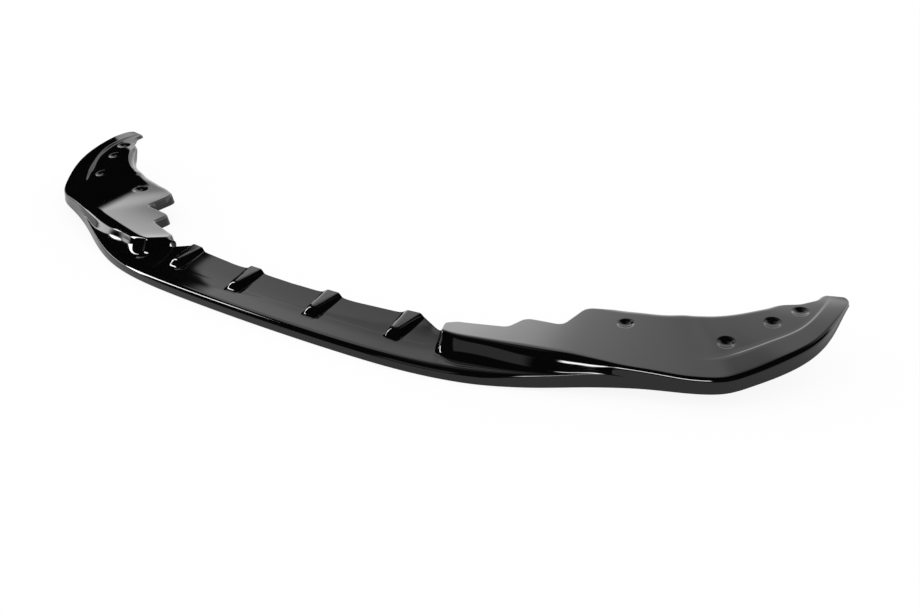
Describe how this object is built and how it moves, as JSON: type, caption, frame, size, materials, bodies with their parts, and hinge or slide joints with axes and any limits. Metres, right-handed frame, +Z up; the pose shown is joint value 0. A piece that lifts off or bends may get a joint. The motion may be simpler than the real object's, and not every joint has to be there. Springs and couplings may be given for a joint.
{
  "type": "front splitter lip",
  "caption": "Gloss black moulded front splitter lip for a car bumper: low centre shelf with small fins between raised wings with stepped rear tabs.",
  "frame": {"origin": "on the upper face of the centre shelf, on the centre line, where the bumper's lower edge sits", "axes": "+X across the car, -Y to the front of the car, +Z up"},
  "size_m": [1.8074, 0.4922, 0.0983],
  "materials": {
    "gloss_black": "high gloss black"
  },
  "bodies": {
    "root": {"splitter_lip": "gloss_black"}
  },
  "joints": []
}
